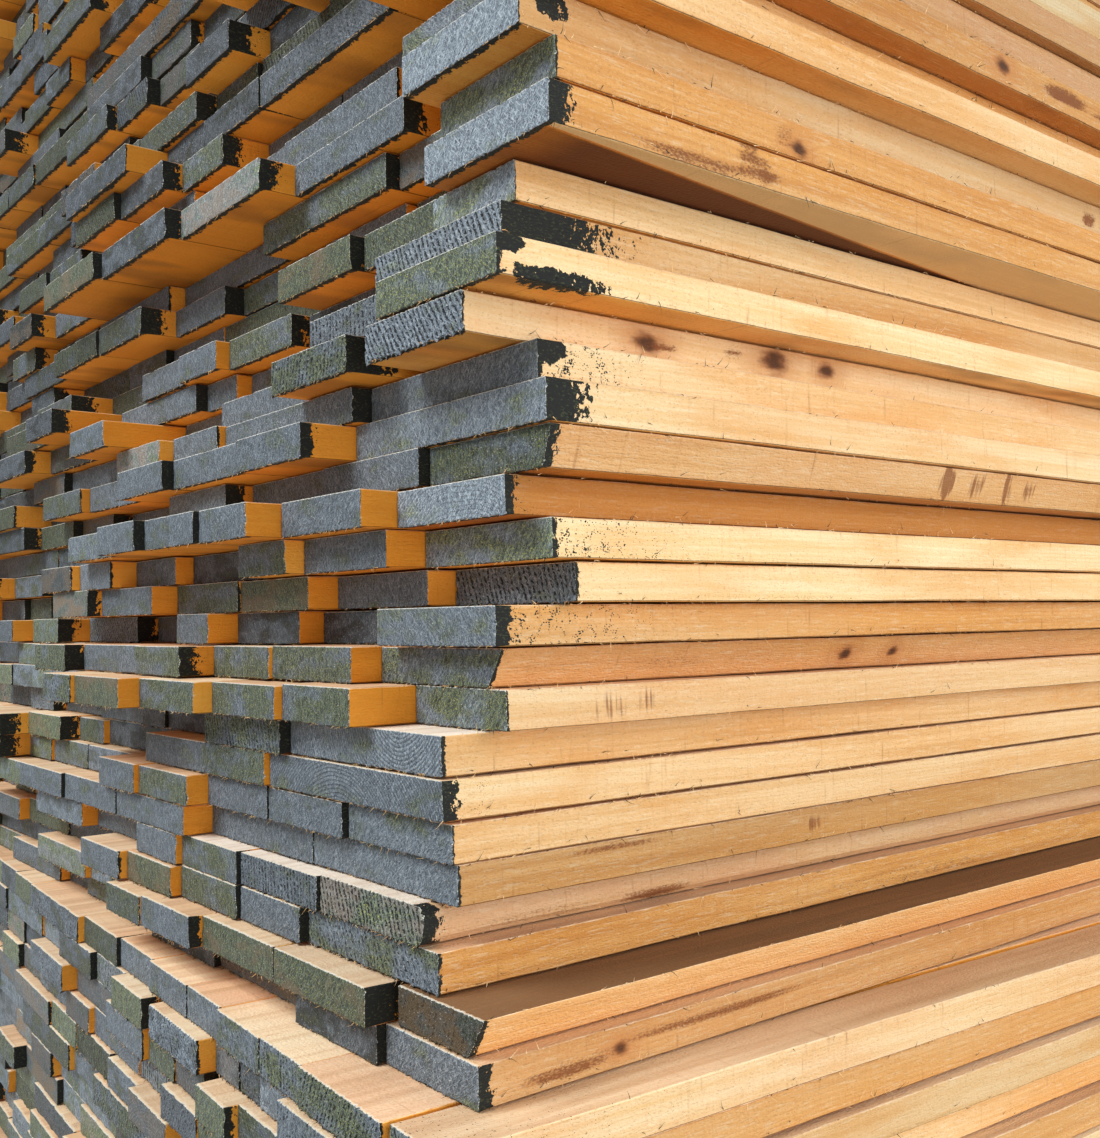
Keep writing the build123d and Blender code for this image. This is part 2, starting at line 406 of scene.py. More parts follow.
def look_of(board):
    """The board's look, chosen for the ones at the near corner and by chance for the rest."""
    chosen = looks.get((board.bundle, board.layer, board.place))
    if chosen:
        return chosen
    chances = board.chances(1)
    # Boards of the upper bundle above that layer get darker ends and darker wood: painted shade
    high_in_painted_shade = board.bundle == "upper" and board.layer > PAINTED_SHADE_ABOVE_LAYER
    has_lap = chances.uniform() < (0.7 if high_in_painted_shade else 0.45)
    look = Look(
        lap=chances.uniform(0.012, 0.035) if has_lap else chances.uniform(0.001, 0.005),
        spatter=max(0.0, chances.uniform(-0.2, 0.35)),
        spatter_reach=chances.uniform(0.02, 0.10),
        green=chances.uniform(0.0, 1.0) ** 1.7,
        light=chances.uniform(0.0, 0.30) if high_in_painted_shade else chances.uniform(0.2, 0.8),
        brown=max(0.0, chances.uniform(-1.5, 0.8)),
        dark=chances.uniform(0.2, 1.0) if high_in_painted_shade else chances.uniform(0.0, 0.7),
        grooves=max(0.0, chances.uniform(-1.2, 1.0)),
        rings=chances.uniform(0.0, 0.5),
        warmth=chances.uniform(0.1, 0.9),
        brightness=chances.uniform(0.0, 0.25) if high_in_painted_shade else chances.uniform(0.3, 0.8),
        pink=max(0.0, chances.uniform(-1.2, 0.9)),
    )
    if chances.uniform() < 0.5:
        size = chances.uniform(0.003, 0.007)
        x = chances.uniform(0.1, board.length - 0.1)
        look.knots.append(Mark(x, chances.uniform(0.2, 0.8) * board.thickness, size, size))
    return look


def steps(start, end, step):
    """Values from start to end about a step apart, with one more an arris from each end."""
    count = max(2, round((end - start - 2 * ARRIS) / step) + 1)
    return np.concatenate(([start], np.linspace(start + ARRIS, end - ARRIS, count), [end]))


def kept(values, targets):
    """The places in a list of values nearest to the targets, with its two first and two last."""
    last = len(values) - 1
    nearest = [int(np.argmin(abs(values - target))) for target in targets]
    return sorted({0, 1, last - 1, last, *nearest})


class Section:
    """A board's section as a grid of points, from which each ring round the board takes its own."""

    def __init__(self, board, step):
        self.board = board
        chances = board.chances(2)
        slack = SLACK_LEAST + (SLACK_MOST - SLACK_LEAST) * chances.uniform() ** 2
        self.ys = steps(0, board.width, step)
        self.zs = steps(0, board.thickness - slack, step if not board.corner_off else 0.0015)
        self.phases = chances.uniform(0, 2 * math.pi, (4, 3))

    def ring(self, columns, rows):
        """The grid points once round the section, by column and row."""
        last_column, last_row = len(self.ys) - 1, len(self.zs) - 1
        around = [(i, 0) for i in columns]
        around += [(last_column, j) for j in rows[1:]]
        around += [(i, last_row) for i in reversed(columns[:-1])]
        around += [(0, j) for j in reversed(rows[1:-1])]
        return around

    def wave(self, side, x):
        """How far an edge wanders from its line at each distance x along the board."""
        phase = self.phases[side]
        slow = np.sin(2 * math.pi * x / 0.9 + phase[0])
        middle = np.sin(2 * math.pi * x / 0.23 + phase[1]) / 2
        quick = np.sin(2 * math.pi * x / 0.061 + phase[2]) / 4
        return EDGE_WAVE * (slow + middle + quick) / 1.75

    def places(self, pairs, x):
        """Where grid points of the section lie, at each distance x along the board."""
        board = self.board
        i, j = np.array(pairs).T
        x = np.atleast_1d(x)[:, None] * np.ones(len(i))
        share_y = self.ys[i] / board.width
        share_z = self.zs[j] / self.zs[-1]
        near = board.lean * (1 - share_z)
        if board.corner_off:
            up, inward, along = board.corner_off
            near = inward * np.clip(1 - self.zs[j] / up - x / along, 0, 1)
        if board.edge_round:
            rise = abs(2 * share_z - 1)
            near = near + board.edge_round * (1 - np.sqrt(np.clip(1 - rise ** 2.4, 0, 1)))
        y = near + (board.width - near) * share_y
        y = y + self.wave(0, x) * (1 - share_y) + self.wave(1, x) * share_y
        z = self.zs[j] + 0.6 * abs(self.wave(2, x)) * (1 - share_z) - 0.6 * abs(self.wave(3, x)) * share_z
        edge_i, edge_j = self.edges(pairs)
        y = y - 0.45 * ARRIS * edge_i * abs(edge_j)
        z = z - 0.45 * ARRIS * edge_j * abs(edge_i)
        return np.stack((x, y, z), axis=-1)

    def edges(self, pairs):
        """For each grid point, -1 at the first column, 1 at the last and 0 between, and so for rows."""
        i, j = np.array(pairs).T
        columns = (i == len(self.ys) - 1) * 1.0 - (i == 0)
        rows = (j == len(self.zs) - 1) * 1.0 - (j == 0)
        return columns, rows


VALUE_NAMES = ("grain", "rings", "coat", "tone", "ends", "cut", "paint", "marks", "arris_and_shelter", "knot_a", "knot_b",
               "knot_c")
WOOD, PAINT = 0, 1


class Shape:
    """The points, faces and values of a layer's mesh while its boards are added."""

    def __init__(self):
        self.points = []
        self.faces = []
        self.kinds = []
        self.values = {name: [] for name in VALUE_NAMES}
        self.count = 0

    def add_faces(self, faces, kind):
        self.faces += faces
        self.kinds += [kind] * len(faces)

    def add_board(self, board, look):
        """A board: a fine grid on its near end, a coarser one on its far end, and rings between."""
        section = Section(board, board.end_step())
        ys, zs = section.ys, section.zs
        first = board.place == 0
        is_marked = first and bool(look.stains or look.crosses or look.patches)
        side_y = [0.006, 0.015, 0.03, 0.045, 0.06, MARK_DEPTH] if is_marked else []
        side_y += [board.width - 0.006, board.width - 0.03] if board.last else []
        row_count = SHAPED_SIDE_ROWS if board.corner_off else SIDE_ROWS
        side_z = np.linspace(0, board.thickness, row_count) if first or board.last else []
        columns, rows = kept(ys, side_y), kept(zs, side_z)
        far_columns = sorted({*kept(ys, np.arange(0, board.width, FAR_STEP)), *columns})
        far_rows = sorted({*kept(zs, np.arange(0, board.thickness, FAR_STEP)), *rows})
        fine = section.ring(list(range(len(ys))), list(range(len(zs))))
        coarse = section.ring(columns, rows)
        far = section.ring(far_columns, far_rows)

        near_end = self.end_points(section, look, list(range(len(ys))), list(range(len(zs))), True)
        near_cap = self.end_faces(near_end["order"], 0, list(range(len(ys))), list(range(len(zs))), False)
        points, arris, face, near_index = (near_end[key] for key in ("points", "arris", "face", "order"))

        def add_rings(around, xs):
            nonlocal points, arris, face
            start = len(points)
            points = np.concatenate((points, section.places(around, xs).reshape(-1, 3)))
            edge_i, edge_j = section.edges(around)
            side_arris = 0.7 * edge_j * abs(edge_i)
            arris = np.concatenate((arris, np.tile(side_arris, len(xs))))
            face = np.concatenate((face, np.tile(edge_j * (edge_i == 0), len(xs))))
            return start

        def index_of(around, start):
            return {pair: start + number for number, pair in enumerate(around)}

        near_rings = [0.004, 0.012] if board.is_close() else [0.006]
        start = add_rings(fine, np.array(near_rings))
        before = near_index
        for number in range(len(near_rings)):
            ring = index_of(fine, start + number * len(fine))
            self.bridge(before, fine, ring, fine)
            before = ring
        if first:
            near_part = np.arange(0.02, SIDE_FINE_LENGTH, SIDE_STEP if is_marked else PLAIN_SIDE_STEP)
            stations = np.concatenate((near_part, np.arange(SIDE_FINE_LENGTH, board.length - 0.03, SIDE_COARSE_STEP)))
        elif board.last:
            stations = np.arange(0.03, board.length - 0.03, SIDE_COARSE_STEP)
        else:
            stations = np.array([0.03, 0.08, 0.3, 0.5 * board.length, board.length - 0.3, board.length - 0.08])
        body = add_rings(coarse, stations)
        self.bridge(before, fine, index_of(coarse, body), coarse)
        size = len(coarse)
        k = np.arange(size)
        for ring in range(len(stations) - 1):
            here = self.count + body + ring * size
            after = (k + 1) % size
            quads = np.column_stack((here + after, here + k, here + size + k, here + size + after))
            self.add_faces(quads.tolist(), WOOD)
        before_end = add_rings(far, np.array([board.length - 0.012]))
        last_ring = index_of(coarse, body + (len(stations) - 1) * size)
        self.bridge(index_of(far, before_end), far, last_ring, coarse, flip=True)
        end = self.end_points(section, look, far_columns, far_rows, False)
        shift = len(points)
        points = np.concatenate((points, end["points"]))
        arris = np.concatenate((arris, end["arris"]))
        face = np.concatenate((face, end["face"]))
        far_index = {pair: number + shift for pair, number in end["order"].items()}
        far_cap = self.end_faces(end["order"], shift, far_columns, far_rows, True)
        self.bridge(far_index, far, index_of(far, before_end), far, flip=True)
        self.add_faces(near_cap + far_cap, PAINT)
        self.place_board(board, look, points, arris, face)

    def bridge(self, fine, fine_around, coarse, coarse_around, flip=False):
        """Faces between two rings, of which the second may have fewer points."""
        number_of = {pair: number for number, pair in enumerate(fine_around)}
        count = len(coarse_around)
        faces = []
        for number, here in enumerate(coarse_around):
            after = coarse_around[(number + 1) % count]
            a, b = number_of[here], number_of[after]
            if b <= a:
                b += len(fine_around)
            span = [fine[fine_around[k % len(fine_around)]] for k in range(a, b + 1)]
            face = [self.count + v for v in span + [coarse[after], coarse[here]]]
            faces.append(face if flip else face[::-1])
        self.add_faces(faces, WOOD)

    def end_points(self, section, look, columns, rows, is_near):
        """The points of a sawn end: uneven, grooved where its look says so, ragged at its edges."""
        board = section.board
        chances = board.chances(3 if is_near else 4)
        pairs = [(i, j) for i in columns for j in rows]
        points = section.places(pairs, 0.0 if is_near else board.length)[0]
        edge_i, edge_j = section.edges(pairs)
        on_edge = (edge_i != 0) | (edge_j != 0)
        groove = np.clip(np.cos(2 * math.pi * groove_rows(board, points)), 0, 1) ** 2
        depth = look.grooves * GROOVE_DEPTH * groove
        depth += 0.0003 * abs(chances.normal(size=len(pairs)))
        depth += 0.5 * ARRIS * on_edge + 0.0012 * on_edge * (chances.uniform(size=len(pairs)) < 0.12)
        below = (edge_j == -1) & (chances.uniform(size=len(pairs)) < 0.4)
        points[:, 2] -= below * chances.uniform(0, SPLINTER, len(pairs)) * (0.4 + look.grooves)
        depth -= below * 0.5 * ARRIS
        points[:, 0] += depth if is_near else -depth
        arris = np.where(edge_j == 1, 1.0, np.where(edge_j == -1, -1.0, 0.5 * (edge_i != 0)))
        order = {pair: number for number, pair in enumerate(pairs)}
        return {"points": points, "arris": arris, "face": edge_j * (edge_i == 0), "order": order}

    def end_faces(self, order, shift, columns, rows, flip):
        faces = []
        for a, b in zip(columns, columns[1:]):
            for c, d in zip(rows, rows[1:]):
                face = [self.count + shift + order[pair] for pair in ((a, c), (a, d), (b, d), (b, c))]
                faces.append(face[::-1] if flip else face)
        return faces

    def place_board(self, board, look, local, arris, face):
        """Puts a board's points in the row frame, and writes its values for the materials."""
        across = np.array([-board.along[1], board.along[0]])
        plan = local[:, :1] * board.along + local[:, 1:2] * across
        self.points.append(np.column_stack((plan, local[:, 2])) + board.corner)
        self.count += len(local)

        chances = board.chances(5)
        whole = np.ones(len(local))
        pith = (chances.uniform(0.1, 0.9) * board.width, chances.choice([-1, 1]) * chances.uniform(0.01, 0.12))
        tilt = chances.uniform(-0.015, 0.015, 2)
        end_distance = np.clip(np.minimum(local[:, 0], board.length - local[:, 0]), 0, None)
        on_near_side = np.clip(1 - local[:, 1] / 0.025, 0, 1)
        spatter = look.spatter * np.clip(1 - end_distance / look.spatter_reach, 0, 1) * np.where(face == 0, 1.0, 0.35)
        if board.bundle == "lower":
            spatter = np.where(face == 1, look.spatter * np.clip(1 - end_distance / look.spatter_reach, 0, 1), spatter)
        stain = marks_field(look.stains, local) * on_near_side
        if (board.bundle, board.layer, board.place) == STRIPE_BOARD:
            stain = np.where(face == -1, stripe(local), stain)
        lap = np.where(face == 0, look.lap, 0.0006) + 0.05 * marks_field(look.patches, local) * on_near_side
        # Boards behind the near one are sheltered, and the wood material gives them painted amber bounce light
        shelter = 0.0 if board.place == 0 else 1.0
        columns = {
            "grain": local + chances.uniform(0, 50, 3),
            "rings": np.column_stack((
                local[:, 0],
                local[:, 1] - pith[0] + tilt[0] * local[:, 0],
                local[:, 2] - pith[1] + tilt[1] * local[:, 0],
            )),
            "coat": np.column_stack((end_distance, lap, face)),
            "tone": np.column_stack((look.warmth * whole, look.brightness * whole, look.pink * whole)),
            "ends": np.column_stack((look.green * whole, look.dark * whole, look.rings * whole)),
            "cut": np.column_stack((groove_rows(board, local), local[:, 2], look.grooves * whole)),
            "paint": np.column_stack((look.light * whole, look.brown * whole, look.top * whole)),
            "marks": np.column_stack((stain, spatter, marks_field(look.crosses, local) * on_near_side)),
            "arris_and_shelter": np.column_stack((arris, shelter * whole, 0 * whole)),
        }
        for number, name in enumerate(("knot_a", "knot_b", "knot_c")):
            if number < len(look.knots):
                knot = look.knots[number]
                columns[name] = (local - np.array((knot.x, 0.0, knot.z))) / knot.long
            else:
                columns[name] = np.full((len(local), 3), 99.0)
        for name, column in columns.items():
            self.values[name].append(column)

    def add_fibres(self, board, look):
        """Loose fibres along the lower arris of the near end, and along the near side's arrises."""
        chances = board.chances(6)
        starts, ways, bends, lengths = [], [], [], []
        for number in range(int(board.width / 0.0045)):
            starts.append((0.0004, chances.uniform(0.002, board.width - 0.002), chances.uniform(0, 0.0008)))
            ways.append((-chances.uniform(0.1, 0.6), chances.uniform(-1, 1), -chances.uniform(0.0, 0.8)))
            bends.append(chances.uniform(-0.5, 0.5, 3))
            lengths.append(chances.uniform(0.0010, 0.0042))
        if board.place == 0:
            for number in range(60):
                upper = chances.uniform() < 0.45
                z = board.thickness - 0.001 if upper else chances.uniform(0.0, 0.006)
                inward = board.lean * (0 if upper else 1) + board.edge_round * 0.5
                starts.append((chances.uniform(0.0, 0.62) ** 1.2, inward - 0.0002, z))
                ways.append((chances.uniform(-1, 1), -0.15, chances.uniform(-0.5, 0.6)))
                bends.append((chances.uniform(-0.6, 0.6), -0.1, chances.uniform(-0.9, 0.9)))
                lengths.append(chances.uniform(0.002, 0.006))
        starts, ways, bends = (np.array(part) for part in (starts, ways, bends))
        ways /= np.linalg.norm(ways, axis=1)[:, None]
        lengths = np.array(lengths)[:, None]
        sideways = np.cross(ways, (0.3, 1.0, 0.2))
        sideways *= FIBRE_WIDTH / 2 / np.linalg.norm(sideways, axis=1)[:, None]
        rows = []
        for share in (0.0, 0.4, 0.75, 1.0):
            middle = starts + lengths * (ways * share + bends * share ** 2)
            thin = 1 - 0.8 * share
            rows += [middle + sideways * thin, middle - sideways * thin]
        local = np.stack(rows, axis=1).reshape(-1, 3)
        faces = []
        for fibre in range(len(starts)):
            base = self.count + 8 * fibre
            faces += [[base + k, base + k + 1, base + k + 3, base + k + 2] for k in (0, 2, 4)]
        self.add_faces(faces, WOOD)
        across = np.array([-board.along[1], board.along[0]])
        plan = local[:, :1] * board.along + local[:, 1:2] * across
        self.points.append(np.column_stack((plan, local[:, 2])) + board.corner)
        self.count += len(local)
        painted = np.repeat(chances.uniform(size=len(starts)) < 0.4, 8)
        whole = np.ones(len(local))
        columns = {name: np.zeros((len(local), 3)) for name in VALUE_NAMES}
        columns["grain"] = local + chances.uniform(0, 50, 3)
        columns["rings"] = local + np.array((0.0, 0.05, 0.05))
        columns["coat"] = np.column_stack((whole, np.where(painted, 3.0, 0.0), 0 * whole))
        columns["tone"] = np.column_stack((0.3 * whole, 0.8 * whole, 0 * whole))
        for name in ("knot_a", "knot_b", "knot_c"):
            columns[name] = np.full((len(local), 3), 99.0)
        for name, column in columns.items():
            self.values[name].append(column)

    def mesh(self, name, materials):
        """The finished mesh, with its values as attributes."""
        mesh = bpy.data.meshes.new(name)
        mesh.from_pydata(np.concatenate(self.points).tolist(), [], self.faces)
        for value_name, parts in self.values.items():
            attribute = mesh.attributes.new(value_name, "FLOAT_VECTOR", "POINT")
            attribute.data.foreach_set("vector", np.concatenate(parts).astype(np.float32).ravel())
        for material in materials:
            mesh.materials.append(material)
        mesh.polygons.foreach_set("material_index", self.kinds)
        mesh.shade_smooth()
        mesh.set_sharp_from_angle(angle=math.radians(28))
        mesh.update()
        return mesh


def groove_rows(board, local):
    """Which row of saw grooves each point of an end lies in, as a running number."""
    chances = board.chances(7)
    slope = chances.uniform(-0.7, 0.7)
    phase = chances.uniform(0, 2 * math.pi, 3)
    y, z = local[:, 1], local[:, 2]
    wander = 0.16 * np.sin(y * 90 + phase[0]) + 0.10 * np.sin(y * 210 + z * 150 + phase[1])
    return (y + slope * z) / GROOVE_STEP + wander + phase[2]


def marks_field(marks, local):
    """How strongly the marks show at each point, 1 in their middles."""
    total = np.zeros(len(local))
    for mark in marks:
        reach = ((local[:, 0] - mark.x) / mark.long) ** 2 + ((local[:, 2] - mark.z) / mark.high) ** 2
        total = np.maximum(total, mark.strength * np.clip(1.3 - reach, 0, 1))
    return total


def stripe(local):
    """The dark stripe, whose near edge draws back along the board until it is out of sight."""
    share = (local[:, 0] - STRIPE_START) / (STRIPE_END - STRIPE_START)
    near_edge = STRIPE_NEAR + (STRIPE_FAR - STRIPE_NEAR) * share
    return 0.5 + (local[:, 1] - near_edge) / STRIPE_SOFTNESS


class Nodes:
    """Short calls for a material's nodes."""

    def __init__(self, material):
        material.use_nodes = True
        self.tree = material.node_tree
        self.tree.nodes.clear()

    def put(self, kind, inputs=None, **settings):
        node = self.tree.nodes.new(kind)
        for key, value in settings.items():
            setattr(node, key, value)
        for key, value in (inputs or {}).items():
            self.feed(node.inputs[key], value)
        return node

    def feed(self, socket, value):
        if isinstance(value, bpy.types.NodeSocket):
            self.tree.links.new(value, socket)
        else:
            socket.default_value = value

    def math(self, operation, a, b=0.0, c=0.0):
        return self.put("ShaderNodeMath", {0: a, 1: b, 2: c}, operation=operation).outputs[0]

    def times(self, a, b):
        return self.math("MULTIPLY", a, b)

    def vector(self, operation, a, b=(0, 0, 0)):
        node = self.put("ShaderNodeVectorMath", {0: a, 1: b}, operation=operation)
        return node.outputs["Value"] if operation == "LENGTH" else node.outputs[0]

    def value(self, name):
        return self.put("ShaderNodeAttribute", attribute_name=name).outputs["Vector"]

    def parts(self, name):
        return self.put("ShaderNodeSeparateXYZ", {0: self.value(name)}).outputs

    def noise(self, where, stretch, detail=1.0, roughness=0.5):
        place = self.vector("MULTIPLY", where, stretch)
        node = self.put("ShaderNodeTexNoise", {"Vector": place, "Scale": 1.0, "Detail": detail,
                                               "Roughness": roughness})
        return node.outputs[0]

    def ramp(self, value, low, high, to_low=0.0, to_high=1.0):
        node = self.put("ShaderNodeMapRange", {"Value": value, "From Min": low, "From Max": high,
                                               "To Min": to_low, "To Max": to_high},
                        interpolation_type="SMOOTHSTEP")
        return node.outputs["Result"]

    def mix(self, share, a, b, how="MIX"):
        node = self.put("ShaderNodeMix", {"Factor": share}, data_type="RGBA", blend_type=how)
        self.feed(node.inputs[6], a)
        self.feed(node.inputs[7], b)
        return node.outputs[2]

    def grey(self, value):
        return self.put("ShaderNodeCombineXYZ", {0: value, 1: value, 2: value}).outputs[0]

    def finish(self, colour, roughness, height, distance):
        bump = self.put("ShaderNodeBump", {"Height": height, "Distance": distance, "Strength": 1.0}).outputs[0]
        shader = self.put("ShaderNodeBsdfPrincipled", {"Base Color": colour, "Roughness": roughness, "Normal": bump,
                                                       "Specular IOR Level": 0.3})
        self.put("ShaderNodeOutputMaterial", {"Surface": shader.outputs[0]})


def ring_lines(n, grain, bend):
    """The dark lines of the growth rings, round the tree's middle."""
    rings = n.parts("rings")
    slow = n.noise(grain, (3.0, 16, 16), 1)
    squares = n.math("MULTIPLY_ADD", rings[1], rings[1], n.times(rings[2], rings[2]))
    radius = n.math("MULTIPLY_ADD", slow, 0.014, n.math("SQRT", squares))
    radius = n.math("MULTIPLY_ADD", bend, 0.005, radius)
    turn = n.math("FRACT", n.times(radius, 340.0))
    return n.times(n.ramp(turn, 0.30, 0.9), n.ramp(turn, 1.0, 0.92)), slow


def wood_material():
    """Rough-sawn softwood, with paint that laps on to it from the ends and is spattered beyond."""
    material = bpy.data.materials.new("rough_sawn_wood")
    n = Nodes(material)
    grain = n.value("grain")
    end_distance, lap, face = n.parts("coat")
    warmth, brightness, pink = n.parts("tone")
    stain, spatter, cross = n.parts("marks")
    arris, shelter, _ = n.parts("arris_and_shelter")
    _, _, top = n.parts("paint")

    clouds = n.noise(grain, (7, 26, 40), 1)
    streaks = n.noise(grain, (2.6, 60, 130), 2, 0.6)
    fibres = n.noise(grain, (60, 700, 700), 1)
    saw = n.noise(grain, (270, 9, 26), 1)
    fuzz = n.noise(grain, (420, 700, 800), 1)

    # knots: the distance to the nearest one, in its own radii
    lengths = [n.vector("LENGTH", n.vector("MULTIPLY", n.value(name), (0.62, 0.12, 1.0)))
               for name in ("knot_a", "knot_b", "knot_c")]
    knot_distance = n.math("MINIMUM", n.math("MINIMUM", lengths[0], lengths[1]), lengths[2])
    knot_edge = n.math("MULTIPLY_ADD", n.noise(grain, (70, 160, 160), 2, 0.6), 1.2, knot_distance)
    knot = n.ramp(knot_edge, 2.1, 1.2)
    knot_heart = n.ramp(knot_edge, 1.6, 0.9)
    knot_halo = n.ramp(knot_edge, 4.6, 1.2)
    lines, slow = ring_lines(n, grain, knot_halo)

    # bare wood: tones along and across the grain, then fine strokes of torn grain
    tone = n.math("MULTIPLY_ADD", slow, 0.9, n.math("SUBTRACT", warmth, 0.45))
    pale = n.mix(n.ramp(tone, 0.0, 1.0), linear(252, 230, 186), linear(238, 174, 92))
    deep = n.mix(n.ramp(tone, 0.0, 1.0), linear(242, 202, 134), linear(204, 130, 48))
    wood = n.mix(n.ramp(streaks, 0.35, 0.72, 0.0, 0.65), pale, deep)
    wood = n.mix(n.times(lines, 0.28), wood, deep)
    wood = n.mix(n.ramp(clouds, 0.45, 0.75, 0.0, 0.55), wood, linear(230, 166, 84))
    wood = n.mix(n.times(pink, n.ramp(clouds, 0.3, 0.6, 0.3, 0.75)), wood, linear(236, 186, 146))
    wood = n.mix(n.ramp(fibres, 0.52, 0.78, 0.0, 0.30), wood, linear(255, 240, 204))
    wood = n.mix(n.ramp(saw, 0.55, 0.80, 0.0, 0.14), wood, linear(196, 134, 66))
    wood = n.mix(n.ramp(fuzz, 0.60, 0.74, 0.0, 0.22), wood, linear(255, 244, 214))
    wood = n.mix(n.ramp(fuzz, 0.38, 0.28, 0.0, 0.28), wood, linear(172, 112, 52))
    # tones above 1 turn deep orange: painted shade, meant for the board set back under an overhang
    wood = n.mix(n.ramp(tone, 1.0, 1.7, 0.0, 0.45), wood, linear(218, 130, 36))
    lift = n.ramp(brightness, 0.0, 1.0, 0.70, 1.12)
    wood = n.mix(1.0, wood, n.grey(lift), "MULTIPLY")

    # light between boards comes off other boards, so it is amber there
    between = n.times(shelter, n.ramp(face, 0.7, 0.1, 0.0, 0.85))
    # the pale strip between the stripe board's near edge and its dark stripe is kept out of the amber glow
    painted_lit_strip = n.ramp(stain, -0.05, -0.30)
    below = n.times(n.ramp(face, -0.2, -0.9), n.ramp(end_distance, 0.05, 0.40, 0.80, 0.30))
    glow = n.math("MAXIMUM", between, n.times(below, n.math("SUBTRACT", 1.0, painted_lit_strip)))
    wood = n.mix(glow, wood, n.mix(1.0, wood, linear(255, 208, 88), "MULTIPLY"))
    wood = n.mix(n.times(between, 0.6), wood, linear(255, 172, 50))
    # painted shade: darker blotches on the undersides only
    underside_shade_blotches = n.noise(grain, (5, 13, 20), 2, 0.6)
    wood = n.mix(n.times(n.ramp(face, -0.2, -0.9), n.ramp(underside_shade_blotches, 0.48, 0.64, 0.0, 0.5)), wood, linear(132, 82, 40))
    # top faces: painted light lightens them towards near white, the more as top rises from 1 to 2; where top is below
    # 1 they are darkened, and grain streaks show on all of them
    on_top = n.ramp(face, 0.2, 0.9)
    painted_top_light = n.math("SUBTRACT", n.ramp(top, 1.0, 2.0, 0.30, 0.95), n.times(pink, 0.2))
    wood = n.mix(n.times(on_top, painted_top_light), wood, linear(255, 244, 228))
    darker = n.mix(1.0, wood, linear(132, 116, 100), "MULTIPLY")
    wood = n.mix(n.times(on_top, n.ramp(top, 1.0, 0.0)), wood, darker)
    wood = n.mix(n.times(on_top, n.ramp(streaks, 0.42, 0.70, 0.0, 0.30)), wood, linear(176, 126, 84))
    # painted light: that pale strip on the underside is lightened as if lit, partly its own pale wood
    wood = n.mix(n.times(painted_lit_strip, 0.50), wood, linear(255, 234, 184))
    # painted highlight along the upper arrises, partly pale bare fuzz; painted shadow as a dark line along the lower
    # arrises, where the joint below is shaded
    wood = n.mix(n.ramp(n.math("MULTIPLY_ADD", fibres, 0.8, arris), 0.85, 1.1, 0.0, 0.6), wood, linear(255, 238, 208))
    wood = n.mix(n.ramp(arris, -0.25, -0.62, 0.0, 0.85), wood, linear(38, 22, 12))

    # knots, stains, and marks that cross the grain
    wood = n.mix(n.times(knot_halo, 0.55), wood, linear(196, 128, 72))
    wood = n.mix(n.times(knot, 0.85), wood, linear(132, 78, 42))
    wood = n.mix(n.times(knot_heart, 0.85), wood, linear(70, 42, 26))
    stain_edge = n.math("MULTIPLY_ADD", streaks, 1.2, n.math("MULTIPLY_ADD", fuzz, 0.9, stain))
    brown = n.mix(n.ramp(stain, 1.02, 1.3), linear(130, 74, 36), linear(86, 43, 22))
    stained = n.times(n.ramp(stain_edge, 1.30, 1.85), n.ramp(end_distance, 0.0, 0.05, 0.45, 0.92))
    wood = n.mix(stained, wood, brown)
    cross_edge = n.math("MULTIPLY_ADD", n.math("SUBTRACT", saw, 0.5), 1.6, cross)
    wood = n.mix(n.ramp(cross_edge, 0.30, 0.8, 0.0, 0.8), wood, linear(134, 76, 38))

    # paint: a ragged lap, and spatter
    ragged = n.noise(grain, (190, 150, 150), 3, 0.75)
    # end paint also laps about 6.5 mm on to each underside: partly real paint, partly painted shade that makes the
    # joint below an end dark
    lap_below = n.ramp(face, -0.2, -0.9, 0.0, 0.0065)
    reach = n.times(n.math("MAXIMUM", lap, lap_below), n.math("MULTIPLY_ADD", ragged, 2.2, -0.25))
    cover = n.ramp(n.math("SUBTRACT", reach, end_distance), -0.0003, 0.0004)
    dot_place = n.vector("MULTIPLY", grain, (560, 560, 760))
    dots = n.put("ShaderNodeTexVoronoi", {"Vector": dot_place, "Scale": 1.0}).outputs[0]
    dot_size = n.times(n.ramp(ragged, 0.40, 0.66), spatter)
    spots = n.ramp(n.math("SUBTRACT", n.times(dot_size, 0.95), dots), -0.05, 0.05)
    painted = n.math("MAXIMUM", cover, spots)
    paint = n.mix(n.ramp(fuzz, 0.56, 0.70, 0.0, 0.8), linear(25, 28, 26), linear(62, 68, 46))
    colour = n.mix(painted, wood, paint)

    height = n.math("MULTIPLY_ADD", fibres, 0.8, n.math("MULTIPLY_ADD", saw, 0.35, fuzz))
    n.finish(colour, 0.72, height, 0.0008)
    return material


def slanted_strokes(n, row, up, way):
    """Fine strokes across a sawn end, that slant one way or the other."""
    across = n.math("MULTIPLY_ADD", up, 560.0 * way, n.times(row, 3.4))
    along = n.math("MULTIPLY_ADD", up, -90.0 * way, n.times(row, 0.5))
    place = n.put("ShaderNodeCombineXYZ", {0: across, 1: along, 2: 7.0 * way}).outputs[0]
    return n.noise(place, (1, 1, 1), 1, 0.6)


